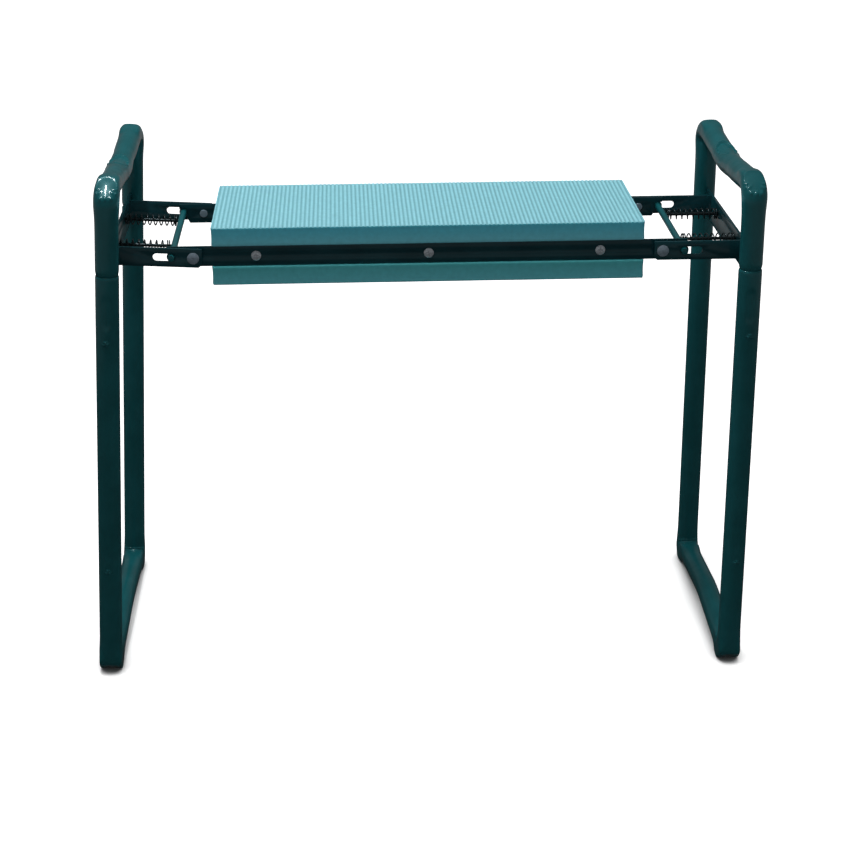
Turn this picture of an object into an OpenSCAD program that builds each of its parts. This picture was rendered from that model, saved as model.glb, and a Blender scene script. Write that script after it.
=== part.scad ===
// Folding garden kneeler: two foam pads on a railed board, hinged between two tube leg frames.
// X runs along the seat, the front faces -Y, and the origin is on the floor under the middle.

/* [Pads] */
// Length of the foam pads
pad_l = 390; // [320:1:460]
// Width of the foam pads, front to back
pad_w = 154; // [125:1:190]
// Thickness of each foam pad
foam_t = 17; // [8:0.5:25]
// Radius of the upright corners of the pads
pad_corner_r = 3; // [1:0.5:15]
// Bevel along the ribbed edges of the pads
pad_bevel = 0.8; // [0.4:0.1:3]
// Distance from one rib to the next
rib_pitch = 3.9; // [3:0.1:8]
// Flat width on top of each rib
rib_land = 2.1; // [1:0.1:2.6]
// Depth of the grooves between ribs
rib_depth = 0.6; // [0.3:0.1:1.5]
// Width of the flat bottom of each groove
groove_floor = 0.5; // [0.2:0.1:0.8]

/* [Rails] */
// Height of the two rail strips
rail_h = 18.4; // [14:0.2:26]
// Thickness of the rail strips
rail_t = 2; // [1.2:0.1:3]
// How far the pads overhang the outer faces of the rails
rail_inset = 2.5; // [2.3:0.1:6]
// Distance of the pivot axes beyond the ends of the pads
pivot_out = 16; // [12:0.5:30]
// How far the stop horn of a rail reaches past the middle of the lock rod
horn_past = 4; // [1:0.5:8]
// Splay of the legs at which the lock rod meets the stop horn, in degrees
stop_splay = 3; // [3:0.5:6]

/* [Board] */
// How far the board stays below the edges of the rails
board_recess = 0.2; // [0:0.1:1]
// How far the ends of the board stay inside the ends of the pads
board_inset = 1.5; // [0:0.5:6]

/* [Leg frames] */
// Outside diameter of the leg tubes
tube_d = 21; // [16:0.5:25]
// Wall thickness of the leg tubes
tube_wall = 1.2; // [0.8:0.1:2]
// Distance between the middles of the front and rear legs
leg_span = 234; // [215:1:290]
// Distance of a leg frame beyond its pivot axis
leg_out = 72.5; // [60:0.5:90]
// Height of the handle ends above the pivot axis
leg_rise = 67.5; // [50:0.5:110]
// Depth of the foot bar ends below the pivot axis
leg_drop = 386.5; // [300:0.5:440]
// Radius of the corner bends on the middle line of the tube
bend_r = 13.5; // [13:0.5:40]
// Slope of each handle half down towards its middle, in degrees
handle_sag = 4; // [1:0.5:8]
// Slope of each foot bar half up towards its middle, in degrees
foot_arch = 4.5; // [1:0.5:8]
// Radius of the gentle bend in the middle of the handle and the foot bar
mid_r = 200; // [80:5:400]
// Depth of the joint between the upper and lower tube below the pivot axis
joint_drop = 7; // [0:0.5:30]
// Length of the swaged end of the upper tube inside the lower one
spigot_l = 48; // [20:1:80]
// Length of the taper above the swaged end
swage_l = 1.2; // [0.5:0.1:4]

/* [Brackets] */
// Thickness of the cross plate between the legs
web_t = 2.5; // [1.5:0.1:4]
// Height of the cross plate
web_h = 26.5; // [22:0.5:40]
// Thickness of the two ears
ear_t = 2.5; // [1.5:0.1:4]
// Height of the ears
ear_h = 17; // [14:0.5:22]
// Distance of the ear tips past the pivot axis towards the seat
ear_tip = 7.5; // [6:0.5:10]
// Corner cut off the lower edge of each ear tip
tip_cut = 2.5; // [0.5:0.5:5]
// Gusset below each ear where it joins the cross plate
gusset = 6.5; // [2:0.5:9]
// Distance between the rails and the ears
ear_gap = 4; // [3.2:0.1:8]

/* [Pivots] */
// Diameter of the rivet shanks
rivet_d = 6; // [4:0.5:8]
// Diameter of the outer rivet heads
head_d = 11; // [9:0.5:14]
// Height of the outer rivet heads
head_h = 1.3; // [0.8:0.1:2.5]
// Diameter of the inner rivet ends
tail_d = 7.4; // [7:0.2:11]
// Height of the inner rivet ends
tail_h = 1; // [0.5:0.1:2]
// Diameter of the spacer rings
spacer_d = 12; // [9:0.5:16]

/* [Locks] */
// Diameter of the lock rods
rod_d = 6; // [4:0.5:7]
// Distance of a locked rod beyond its pivot axis
rod_out = 19.5; // [18.5:0.5:26]
// Distance that a rod can be pulled out along its slots
rod_travel = 12.8; // [6:0.2:18]
// How far the rod ends stand out of the ears
rod_past = 3; // [1:0.5:8]
// Diameter of the swells that keep a rod between the ears
swell_d = 8.5; // [8.2:0.1:10]
// Length of the swells
swell_l = 2; // [1:0.1:2.5]
// Distance of the springs from the middle of the seat width
spring_y = 43; // [25:0.5:50]
// Outside diameter of the springs
spring_d = 10.7; // [8:0.1:14]
// Wire diameter of the springs
wire_d = 1.3; // [0.8:0.1:1.6]
// Number of turns of a spring
spring_turns = 9; // [6:1:12]
// Diameter of the guide pins inside the springs
pin_d = 3; // [2:0.1:4]
// How far the guide pins stand out behind the cross plate
pin_past = 3; // [1:0.5:8]

/* [Screws] */
// Number of screws along each rail
screw_count = 3; // [2:1:3]
// Distance from one screw to the next
screw_pitch = 155; // [100:1:170]
// Diameter of the screw shanks
screw_d = 4; // [3:0.5:5]
// Length of the screws below their heads
screw_l = 30; // [20:1:40]
// Length of the screw points
screw_tip = 4; // [2:0.5:6]
// Diameter of the screw heads
pan_d = 9; // [7:0.5:11]
// Height of the straight rim of the screw heads
pan_rim = 0.7; // [0.4:0.1:0.9]
// Height of the rounded top of the screw heads
pan_crown = 1.3; // [0.8:0.1:1.4]
// Length across the cross recess
recess_l = 4.4; // [3:0.1:6]
// Width of each slot of the cross recess
recess_w = 1; // [0.6:0.1:1.4]
// Depth of the cross recess
recess_depth = 1.2; // [0.6:0.1:1.6]

/* [Stance] */
// Outward splay of the left legs, in degrees
left_splay = 3; // [0:0.5:3]
// Outward splay of the right legs, in degrees
right_splay = 0; // [0:0.5:3]

/* [Fits] */
// Radial play of an ear on its rivet
pivot_play = 0.05; // [0.02:0.01:0.1]
// Play along the rivet at the head and at the spacer
face_play = 0.1; // [0.05:0.05:0.3]
// Gap between a foam pad and the rail edges
foam_gap = 0.3; // [0.2:0.05:0.5]
// Gap between a lock rod and the nose or horn of a rail
lock_play = 0.3; // [0.2:0.05:0.6]
// Play of a lock rod above and below in its slots
slot_play = 0.6; // [0.3:0.1:1]
// Play of a rod at the inner ends of its slots
slot_end_play = 0.1; // [0.05:0.05:0.5]
// Gap between the swells of a rod and the ears
swell_play = 0.3; // [0.2:0.1:0.5]
// Radial play of a guide pin in the cross plate
pin_play = 0.1; // [0.05:0.05:0.3]
// Gap at each end of a spring
spring_play = 0.2; // [0.1:0.05:0.4]
// Radial gap between the swaged end and the lower tube
spigot_play = 0.1; // [0.05:0.05:0.2]
// Gap between the cross plate and the round of a leg
weld_gap = 0.05; // [0.02:0.01:0.1]
// Radial gap of a screw in a rail
rail_hole_play = 0.15; // [0.05:0.05:0.3]
// Radial gap of a screw or guide pin in the piece that holds it
hold_play = 0.05; // [0.02:0.01:0.1]

/* [Hidden] */
$fn = 64;

// Sides and faces that the drawing names by sign
left = -1;
right = 1;
front = -1;
rear = 1;

// Extra length of a cutting shape past the face that it cuts
past = 1;

// Width and height of the low ring where two lengths of a tube meet
seam_w = 0.6;
seam_rise = 0.12;

// Seat, measured from its middle at the height of the pivot axes
pivot_x = pad_l / 2 + pivot_out;
rail_y = pad_w / 2 - rail_inset;
board_w = 2 * (rail_y - rail_t);
board_l = pad_l - 2 * board_inset;
board_t = rail_h - 2 * board_recess;
foam_z = rail_h / 2 + foam_gap;
ribs = 2 * floor((pad_l / 2 - pad_bevel) / rib_pitch);

// Brackets and pivots
leg_y = leg_span / 2;
ear_y = rail_y + ear_gap;
ear_top = ear_h / 2;
web_bottom = ear_top - web_h;
nose_r = rod_out - rod_d / 2 - lock_play;
slot_r = rod_d / 2 + slot_play;
slot_start = rod_out - slot_end_play;
slot_end = slot_start + rod_travel + 2 * slot_end_play;

// Tubes
tube_r = tube_d / 2;
bore_r = tube_r - tube_wall;
spigot_r = bore_r - spigot_play;

// Springs
coil_r = (spring_d - wire_d) / 2;
spring_from = rod_out + rod_d / 2 + spring_play;
spring_to = leg_out - spring_play;
rings_per_turn = 8;
wire_sides = 6;

// Stance: height of the pivots over the floor, and the middle between the outer sides
seam_below = (tube_r + seam_rise) * cos(foot_arch) - bend_r * (1 - cos(foot_arch));
foot_r = max(tube_r, seam_below);
function foot_below(splay) = leg_drop * cos(splay) - leg_out * sin(splay) + foot_r;
function side_reach(splay) = pivot_x + leg_out * cos(splay) + leg_drop * sin(splay) + tube_r;
pivot_z = max(foot_below(left_splay), foot_below(right_splay));
seat_x = (side_reach(left_splay) - side_reach(right_splay)) / 2;

// Radius of the ball that a cap of this width and height is cut from
function cap_ball(width, height) = (width * width / 4 + height * height) / (2 * height);

// Puts a shape drawn round the middle of the seat in its place
module on_seat() {
    translate([seat_x, 0, pivot_z]) children();
}

// Puts a shape drawn outwards from a pivot axis on the left or right leg frame
module on_frame(side) {
    splay = side == left ? left_splay : right_splay;
    on_seat()
        translate([side * pivot_x, 0, 0])
            rotate([0, 0, side == left ? 180 : 0])
                rotate([0, -splay, 0])
                    children();
}

// A plate drawn in X and Z, from the given Y towards the rear
module upright_plate(from_y, thickness) {
    translate([0, from_y + thickness, 0])
        rotate([90, 0, 0])
            linear_extrude(thickness) children();
}

// A shape drawn along +Z, turned to point to the front or to the rear
module facing(face) {
    rotate([face == rear ? -90 : 90, 0, 0]) children();
}

// A low round cap on the plane Z = 0
module cap(width, height) {
    ball = cap_ball(width, height);
    rotate_extrude()
        intersection() {
            translate([0, height - ball]) circle(ball, $fn = 240);
            square([width / 2, height]);
        }
}

// A bend of a tube that comes up along +Z and turns towards -Y
module bend(r, radius, angle) {
    translate([0, -radius, 0])
        rotate([90, 0, 90])
            rotate_extrude(angle = angle)
                translate([radius, 0]) circle(r);
}

// Goes on from the end of such a bend
module after_bend(radius, angle) {
    translate([0, -radius, 0])
        rotate([angle, 0, 0])
            translate([0, radius, 0]) children();
}

// The low ring where two lengths of a tube meet
module seam(r) {
    translate([0, 0, -seam_w / 2])
        cylinder(r = r + seam_rise, h = seam_w);
}

// A straight length of a tube with a seam at its start
module straight(r, length) {
    cylinder(r = r, h = length);
    seam(r);
}

// A whole bent tube with its corners at Z = 0: two legs, and a bar that dips by slope to its middle
module bow(r, slope, leg_end) {
    run = (leg_y - bend_r - (bend_r + mid_r) * sin(slope)) / cos(slope);
    for (y = [-leg_y, leg_y])
        translate([0, y, leg_end]) {
            cylinder(r = r, h = -bend_r - leg_end);
            translate([0, 0, -bend_r - leg_end]) seam(r);
        }
    translate([0, leg_y, -bend_r]) {
        bend(r, bend_r, 90 + slope);
        after_bend(bend_r, 90 + slope) {
            straight(r, run);
            translate([0, 0, run]) {
                seam(r);
                mirror([0, 1, 0]) bend(r, mid_r, 2 * slope);
                after_bend(-mid_r, -2 * slope) {
                    straight(r, run);
                    translate([0, 0, run]) bend(r, bend_r, 90 + slope);
                }
            }
        }
    }
}

// The swaged end of one upper leg, with its own outer radius at the top and at the bottom
module swaged_end(r_top, r_low, overlap) {
    translate([0, 0, -joint_drop])
        cylinder(r1 = r_low, r2 = r_top, h = swage_l);
    translate([0, 0, -joint_drop - spigot_l - overlap])
        cylinder(r = r_low, h = spigot_l + overlap);
}

// Both swaged ends of an upper tube
module swaged_ends(r_top, r_low, overlap) {
    for (y = [-leg_y, leg_y])
        translate([leg_out, y, 0]) swaged_end(r_top, r_low, overlap);
}

module handle_tube(side) {
    taper_top = swage_l - joint_drop;
    color("#0d3a36")
        on_frame(side)
            difference() {
                union() {
                    translate([leg_out, 0, leg_rise])
                        bow(tube_r, handle_sag, taper_top - leg_rise);
                    swaged_ends(tube_r, spigot_r, 0);
                }
                translate([leg_out, 0, leg_rise])
                    bow(bore_r, handle_sag, taper_top - leg_rise);
                swaged_ends(bore_r, spigot_r - tube_wall, past);
            }
}

module foot_tube(side) {
    color("#0d3a36")
        on_frame(side)
            translate([leg_out, 0, -leg_drop])
                mirror([0, 0, 1])
                    difference() {
                        bow(tube_r, foot_arch, joint_drop - leg_drop);
                        bow(bore_r, foot_arch, joint_drop - leg_drop - past);
                    }
}

// Side view of an ear, from its tip at the seat to the cross plate
module ear_outline() {
    low = -ear_top;
    into_web = leg_out + web_t / 2;
    polygon([
        [-ear_tip, ear_top],
        [into_web, ear_top],
        [into_web, low - gusset],
        [leg_out, low - gusset],
        [leg_out - gusset, low],
        [tip_cut - ear_tip, low],
        [-ear_tip, low + tip_cut]
    ]);
}

// One ear with its pivot bore and its slot
module ear(from_y) {
    difference() {
        upright_plate(from_y, ear_t) ear_outline();
        upright_plate(from_y - past, ear_t + 2 * past) {
            circle(rivet_d / 2 + pivot_play);
            translate([slot_start, 0]) circle(slot_r);
            translate([slot_end, 0]) circle(slot_r);
            translate([slot_start, -slot_r]) square([slot_end - slot_start, 2 * slot_r]);
        }
    }
}

module bracket(side) {
    color("#0b2a2e")
        on_frame(side) {
            difference() {
                union() {
                    translate([leg_out, -leg_y, web_bottom])
                        cube([web_t, leg_span, web_h]);
                    ear(ear_y);
                    ear(-ear_y - ear_t);
                }
                for (y = [-leg_y, leg_y])
                    translate([leg_out, y, web_bottom - past])
                        cylinder(r = tube_r + weld_gap, h = web_h + 2 * past);
                for (y = [-spring_y, spring_y])
                    translate([leg_out - past, y, 0])
                        rotate([0, 90, 0])
                            cylinder(r = pin_d / 2 + pin_play, h = web_t + 2 * past);
            }
        }
}

module lock_rod(side) {
    rod_end = ear_y + ear_t + rod_past;
    color("#39444a")
        on_frame(side)
            translate([rod_out, 0, 0])
                difference() {
                    facing(rear) {
                        translate([0, 0, -rod_end]) cylinder(d = rod_d, h = 2 * rod_end);
                        for (face = [front, rear])
                            translate([0, 0, face * (ear_y - swell_play - swell_l / 2)])
                                cylinder(d = swell_d, h = swell_l, center = true);
                    }
                    for (y = [-spring_y, spring_y])
                        translate([-rod_d, y, 0])
                            rotate([0, 90, 0])
                                cylinder(r = pin_d / 2 + hold_play, h = 2 * rod_d);
                }
}

module guide_pin(side, face) {
    from_x = rod_out - rod_d / 2;
    color("#39444a")
        on_frame(side)
            translate([from_x, side * face * spring_y, 0])
                rotate([0, 90, 0])
                    cylinder(d = pin_d, h = leg_out + web_t + pin_past - from_x);
}

// Middle line of a spring along X: a short straight end, the turns, and a straight end
steps = spring_turns * rings_per_turn;
turn_from = spring_from + wire_d;
turn_to = spring_to - wire_d;
function on_coil(x, angle) = [x, coil_r * cos(angle), coil_r * sin(angle)];
function coil_point(i) = on_coil(
    turn_from + (turn_to - turn_from) * i / steps, 360 * i / rings_per_turn);
wire_line = concat(
    [on_coil(spring_from, 0)],
    [for (i = [0:steps]) coil_point(i)],
    [on_coil(spring_to, 360 * spring_turns)]);
wire_last = len(wire_line) - 1;

// One ring of wire corners round point i of the middle line
function unit(v) = v / norm(v);
function wire_ring(i) =
    let (
        p = wire_line[i],
        ahead = unit(wire_line[min(i + 1, wire_last)] - wire_line[max(i - 1, 0)]),
        out = unit([0, p[1], p[2]]),
        side_a = unit(out - ahead * (out * ahead)),
        side_b = cross(ahead, side_a)
    )
    [for (k = [0:wire_sides - 1])
        p + wire_d / 2 * (side_a * cos(360 * k / wire_sides) + side_b * sin(360 * k / wire_sides))];
wire_corners = [for (i = [0:wire_last]) each wire_ring(i)];
wire_skin = concat(
    [for (i = [0:wire_last - 1], k = [0:wire_sides - 1])
        let (a = i * wire_sides + k, b = i * wire_sides + (k + 1) % wire_sides)
        each [[a, b + wire_sides, b], [a, a + wire_sides, b + wire_sides]]],
    [for (k = [1:wire_sides - 2]) [0, k, k + 1]],
    [for (k = [1:wire_sides - 2])
        [wire_last * wire_sides, wire_last * wire_sides + k + 1, wire_last * wire_sides + k]]);
turn_gap = min([for (i = [0:wire_last], j = [0:wire_last])
    if (j - i > rings_per_turn / 2) norm(wire_line[j] - wire_line[i])]) - wire_d;
echo("Least gap of a spring to itself, in mm:", turn_gap);

module spring(side, face) {
    color("#4b565c")
        on_frame(side)
            translate([0, side * face * spring_y, 0])
                polyhedron(points = wire_corners, faces = wire_skin, convexity = 20);
}

// Side view of one end of a rail: a round nose, and a horn over the lock rod as its stop
module rail_end() {
    intersection() {
        translate([0, -rail_h / 2]) square([rod_out + horn_past, rail_h]);
        union() {
            circle(nose_r);
            rotate(stop_splay)
                translate([0, rod_d / 2 + lock_play])
                    square([rod_out + horn_past, rail_h]);
        }
    }
}

module rail_outline() {
    translate([-pivot_x, -rail_h / 2]) square([2 * pivot_x, rail_h]);
    translate([pivot_x, 0]) rail_end();
    translate([-pivot_x, 0]) mirror([1, 0]) rail_end();
}

// Places along the seat of the screws of one rail
screw_places = [for (i = [0:screw_count - 1]) (i - (screw_count - 1) / 2) * screw_pitch];

module rail(face) {
    color("#0a2024")
        on_seat()
            difference() {
                upright_plate(face == rear ? rail_y - rail_t : -rail_y, rail_t) rail_outline();
                for (x = [-pivot_x, pivot_x])
                    translate([x, 0, 0])
                        facing(face) cylinder(r = rivet_d / 2 + hold_play, h = rail_y + past);
                for (x = screw_places)
                    translate([x, 0, 0])
                        facing(face) cylinder(r = screw_d / 2 + rail_hole_play, h = rail_y + past);
            }
}

module core_board() {
    color("#23292b")
        on_seat()
            difference() {
                cube([board_l, board_w, board_t], center = true);
                for (face = [front, rear])
                    for (x = screw_places)
                        translate([x, face * (rail_y - screw_l - past), 0])
                            facing(face)
                                cylinder(r = screw_d / 2 + hold_play, h = screw_l + 2 * past);
            }
}

// Side view of a pad with its ribs on top, sitting on Z = 0
module ribbed_outline() {
    half_l = pad_l / 2;
    slope_w = (rib_pitch - rib_land - groove_floor) / 2;
    groove_half = slope_w + groove_floor / 2;
    polygon(concat(
        [[half_l, 0], [half_l, foam_t - pad_bevel], [half_l - pad_bevel, foam_t]],
        [for (i = [0:ribs - 1])
            let (x = ((ribs - 1) / 2 - i) * rib_pitch)
            each [
                [x + groove_half, foam_t],
                [x + groove_floor / 2, foam_t - rib_depth],
                [x - groove_floor / 2, foam_t - rib_depth],
                [x - groove_half, foam_t]
            ]],
        [[pad_bevel - half_l, foam_t], [-half_l, foam_t - pad_bevel], [-half_l, 0]]));
}

// End view of a pad with its long edges bevelled
module bevelled_section() {
    half_w = pad_w / 2;
    polygon([
        [-half_w, -past],
        [half_w, -past],
        [half_w, foam_t - pad_bevel],
        [half_w - pad_bevel, foam_t],
        [pad_bevel - half_w, foam_t],
        [-half_w, foam_t - pad_bevel]
    ]);
}

// Top view of a pad with its corners rounded
module rounded_plan() {
    inner_l = pad_l - 2 * pad_corner_r;
    inner_w = pad_w - 2 * pad_corner_r;
    square([pad_l, inner_w], center = true);
    square([inner_l, pad_w], center = true);
    for (x = [-inner_l / 2, inner_l / 2], y = [-inner_w / 2, inner_w / 2])
        translate([x, y]) circle(pad_corner_r);
}

module foam_pad() {
    intersection() {
        upright_plate(-pad_w / 2 - past, pad_w + 2 * past) ribbed_outline();
        rotate([90, 0, 90])
            translate([0, 0, -pad_l / 2 - past])
                linear_extrude(pad_l + 2 * past) bevelled_section();
        translate([0, 0, -past]) linear_extrude(foam_t + 2 * past) rounded_plan();
    }
}

module foam_top() {
    color("#83c2cd")
        on_seat() translate([0, 0, foam_z]) foam_pad();
}

module foam_bottom() {
    color("#2f6d72")
        on_seat() translate([0, 0, -foam_z]) mirror([0, 0, 1]) foam_pad();
}

// A cross-recessed screw with the underside of its head on Z = 0
module screw() {
    difference() {
        union() {
            cylinder(d = pan_d, h = pan_rim);
            translate([0, 0, pan_rim]) cap(pan_d, pan_crown);
            translate([0, 0, screw_tip - screw_l]) cylinder(d = screw_d, h = screw_l - screw_tip);
            translate([0, 0, -screw_l]) cylinder(d1 = 0, d2 = screw_d, h = screw_tip);
        }
        translate([0, 0, pan_rim + pan_crown - recess_depth])
            for (turn = [0, 90])
                rotate(turn)
                    translate([-recess_l / 2, -recess_w / 2, 0])
                        cube([recess_l, recess_w, recess_depth + past]);
    }
}

module screws(face) {
    color("#6f7d84")
        on_seat()
            for (x = screw_places)
                translate([x, face * rail_y, 0]) facing(face) screw();
}

module pivot_rivets(side) {
    inner = rail_y - rail_t;
    outer = ear_y + ear_t + face_play;
    color("#59697a")
        on_seat()
            for (face = [front, rear])
                translate([side * pivot_x, 0, 0])
                    facing(face) {
                        translate([0, 0, inner - tail_h]) cylinder(d = tail_d, h = tail_h);
                        translate([0, 0, inner - tail_h / 2])
                            cylinder(d = rivet_d, h = outer - inner + tail_h / 2);
                        translate([0, 0, outer]) cap(head_d, head_h);
                    }
}

module pivot_spacers(side) {
    color("#59697a")
        on_seat()
            for (face = [front, rear])
                translate([side * pivot_x, 0, 0])
                    facing(face)
                        difference() {
                            translate([0, 0, rail_y])
                                cylinder(d = spacer_d, h = ear_gap - face_play);
                            translate([0, 0, rail_y - past])
                                cylinder(r = rivet_d / 2 + hold_play, h = ear_gap + 2 * past);
                        }
}

rail(front);  // rail_front
rail(rear);  // rail_rear
core_board();
foam_top();
foam_bottom();
screws(front);  // screws_front
screws(rear);  // screws_rear
pivot_rivets(left);  // left_pivot_rivets
pivot_rivets(right);  // right_pivot_rivets
pivot_spacers(left);  // left_pivot_spacers
pivot_spacers(right);  // right_pivot_spacers
handle_tube(left);  // left_handle_tube
foot_tube(left);  // left_foot_tube
bracket(left);  // left_bracket
lock_rod(left);  // left_lock_rod
guide_pin(left, front);  // left_guide_pin_front
guide_pin(left, rear);  // left_guide_pin_rear
spring(left, front);  // left_spring_front
spring(left, rear);  // left_spring_rear
handle_tube(right);  // right_handle_tube
foot_tube(right);  // right_foot_tube
bracket(right);  // right_bracket
lock_rod(right);  // right_lock_rod
guide_pin(right, front);  // right_guide_pin_front
guide_pin(right, rear);  // right_guide_pin_rear
spring(right, front);  // right_spring_front
spring(right, rear);  // right_spring_rear
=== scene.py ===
import math

import bpy
from mathutils import Matrix, Vector


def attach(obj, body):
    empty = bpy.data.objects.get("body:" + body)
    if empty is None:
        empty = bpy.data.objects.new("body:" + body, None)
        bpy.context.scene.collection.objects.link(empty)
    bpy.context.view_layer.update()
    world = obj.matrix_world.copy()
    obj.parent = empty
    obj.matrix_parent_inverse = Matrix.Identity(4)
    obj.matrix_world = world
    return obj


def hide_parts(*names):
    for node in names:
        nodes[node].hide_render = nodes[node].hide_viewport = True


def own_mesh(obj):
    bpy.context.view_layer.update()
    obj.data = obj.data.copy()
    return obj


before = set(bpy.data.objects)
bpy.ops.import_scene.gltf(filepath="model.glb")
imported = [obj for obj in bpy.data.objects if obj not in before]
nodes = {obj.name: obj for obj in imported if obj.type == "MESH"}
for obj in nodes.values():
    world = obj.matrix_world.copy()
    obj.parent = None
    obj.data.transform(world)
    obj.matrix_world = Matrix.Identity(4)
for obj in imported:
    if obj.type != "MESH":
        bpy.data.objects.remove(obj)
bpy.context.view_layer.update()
mm = 0.001
print("frame loaded:", len(nodes), "nodes")

# where the leg frames and the seat hang, in mm and degrees, as in the part's source
hang = {
    "pivots": {"left": (-200.935756, 397.045646), "right": (221.064244, 397.045646)},
    "splay": {"left": 3.0, "right": 0.0},
    "seatMiddle": (10.064244, 397.045646),
}


# a leg frame's own place: its rivets at the middle, X away from the seat
def sideMatrix(side):
    x, z = hang["pivots"][side]
    turn = math.pi if side == "left" else 0.0
    return (Matrix.Translation((x * mm, 0, z * mm))
            @ Matrix.Rotation(turn, 4, "Z")
            @ Matrix.Rotation(-math.radians(hang["splay"][side]), 4, "Y"))


def dropSelection():
    if bpy.context.object and bpy.context.object.mode != "OBJECT":
        bpy.ops.object.mode_set(mode="OBJECT")
    bpy.ops.object.select_all(action="DESELECT")


def pickOnly(obj):
    dropSelection()
    obj.select_set(True)
    bpy.context.view_layer.objects.active = obj


def settle(obj):
    pickOnly(obj)
    bpy.ops.object.transform_apply(location=True, rotation=True, scale=True)


def applyAll(obj):
    pickOnly(obj)
    for name in [m.name for m in obj.modifiers]:
        bpy.ops.object.modifier_apply(modifier=name)


def faceOutwards(obj):
    pickOnly(obj)
    bpy.ops.object.mode_set(mode="EDIT")
    bpy.ops.mesh.select_all(action="SELECT")
    bpy.ops.mesh.normals_make_consistent(inside=False)
    bpy.ops.object.mode_set(mode="OBJECT")


def dress(obj, body, material, slotName, *replaced):
    obj.data.materials.clear()
    obj.data.materials.append(material)
    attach(obj, body)
    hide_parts(*replaced)


def bump(x, width):
    return math.exp(-(x / width) ** 2)


def fall(x, at, soft):
    return 1 / (1 + math.exp((x - at) / soft))


def plateau(x, low, high, soft):
    return fall(-x, -low, soft) * fall(x, high, soft)


def smooth(x, low, high):
    t = min(1, max(0, (x - low) / (high - low)))
    return t * t * (3 - 2 * t)


# finishes, all in Object space

mostNoise = (0.3, 0.7)  # nearly all of a noise texture's values lie in here


def newMaterial(name):
    material = bpy.data.materials.new(name)
    material.use_nodes = True
    tree = material.node_tree
    return material, tree, tree.nodes["Principled BSDF"]


def noiseAt(tree, scale, detail, stretch=(1, 1, 1)):
    place = tree.nodes.new("ShaderNodeTexCoord")
    mapping = tree.nodes.new("ShaderNodeMapping")
    mapping.inputs["Scale"].default_value = stretch
    noise = tree.nodes.new("ShaderNodeTexNoise")
    noise.inputs["Scale"].default_value = scale
    noise.inputs["Detail"].default_value = detail
    tree.links.new(place.outputs["Object"], mapping.inputs["Vector"])
    tree.links.new(mapping.outputs["Vector"], noise.inputs["Vector"])
    return noise.outputs["Fac"]


# from the first colour to the second between two values of the source
def ramp(tree, source, span, colours):
    node = tree.nodes.new("ShaderNodeValToRGB")
    for element, at, colour in zip(node.color_ramp.elements, span, colours):
        element.position = at
        element.color = (*colour, 1)
    tree.links.new(source, node.inputs["Fac"])
    return node.outputs["Color"]


def addBump(tree, shader, height, strength, distance):
    node = tree.nodes.new("ShaderNodeBump")
    node.inputs["Strength"].default_value = strength
    node.inputs["Distance"].default_value = distance
    tree.links.new(height, node.inputs["Height"])
    tree.links.new(node.outputs["Normal"], shader.inputs["Normal"])


def grey(value):
    return (value, value, value)


def maths(tree, kind, *values):
    node = tree.nodes.new("ShaderNodeMath")
    node.operation = kind
    for socket, value in zip(node.inputs, values):
        if isinstance(value, (int, float)):
            socket.default_value = value
        else:
            tree.links.new(value, socket)
    return node.outputs["Value"]


def blendColours(tree, share, a, b, blend="MIX"):
    node = tree.nodes.new("ShaderNodeMix")
    node.data_type = "RGBA"
    node.blend_type = blend
    for name, value in (("Factor", share), ("A", a), ("B", b)):
        if isinstance(value, (int, float)):
            node.inputs[name].default_value = value
        else:
            tree.links.new(value, node.inputs[name])
    return node.outputs["Result"]


# powder paint with a clear sheen over it
def makePaint(name, deep, full):
    look = {
        "clouds": 34,
        "gloss": (0.28, 0.38),
        "glossPatches": 90,
        "glossSpan": (0.35, 0.7),
        "flake": 0.12,  # share that reflects as metal flake
        "ior": 1.3,
        "coat": 0.6,
        "coatIor": 1.45,
        "coatRoughness": 0.05,
        "orangePeel": 260,
        "peelBump": (0.05, 0.0004),
    }
    material, tree, shader = newMaterial(name)
    tree.links.new(ramp(tree, noiseAt(tree, look["clouds"], 4), mostNoise, (deep, full)),
                   shader.inputs["Base Color"])
    low, high = look["gloss"]
    tree.links.new(ramp(tree, noiseAt(tree, look["glossPatches"], 3), look["glossSpan"],
                        (grey(low), grey(high))), shader.inputs["Roughness"])
    shader.inputs["Metallic"].default_value = look["flake"]
    shader.inputs["IOR"].default_value = look["ior"]
    shader.inputs["Coat Weight"].default_value = look["coat"]
    shader.inputs["Coat IOR"].default_value = look["coatIor"]
    shader.inputs["Coat Roughness"].default_value = look["coatRoughness"]
    addBump(tree, shader, noiseAt(tree, look["orangePeel"], 1), *look["peelBump"])
    return material


# worn or plated steel: its colour, lowest and highest roughness, grain, and share of bare metal
def makeMetal(name, colour, roughness, grain, metal):
    look = {"dark": 0.72, "grainBump": (0.15, 0.0002)}
    material, tree, shader = newMaterial(name)
    dark = tuple(c * look["dark"] for c in colour)
    tree.links.new(ramp(tree, noiseAt(tree, grain, 4), mostNoise, (dark, colour)),
                   shader.inputs["Base Color"])
    low, high = roughness
    tree.links.new(ramp(tree, noiseAt(tree, grain * 2, 3), mostNoise, (grey(low), grey(high))),
                   shader.inputs["Roughness"])
    shader.inputs["Metallic"].default_value = metal
    addBump(tree, shader, noiseAt(tree, grain * 3, 2), *look["grainBump"])
    return material


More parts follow.
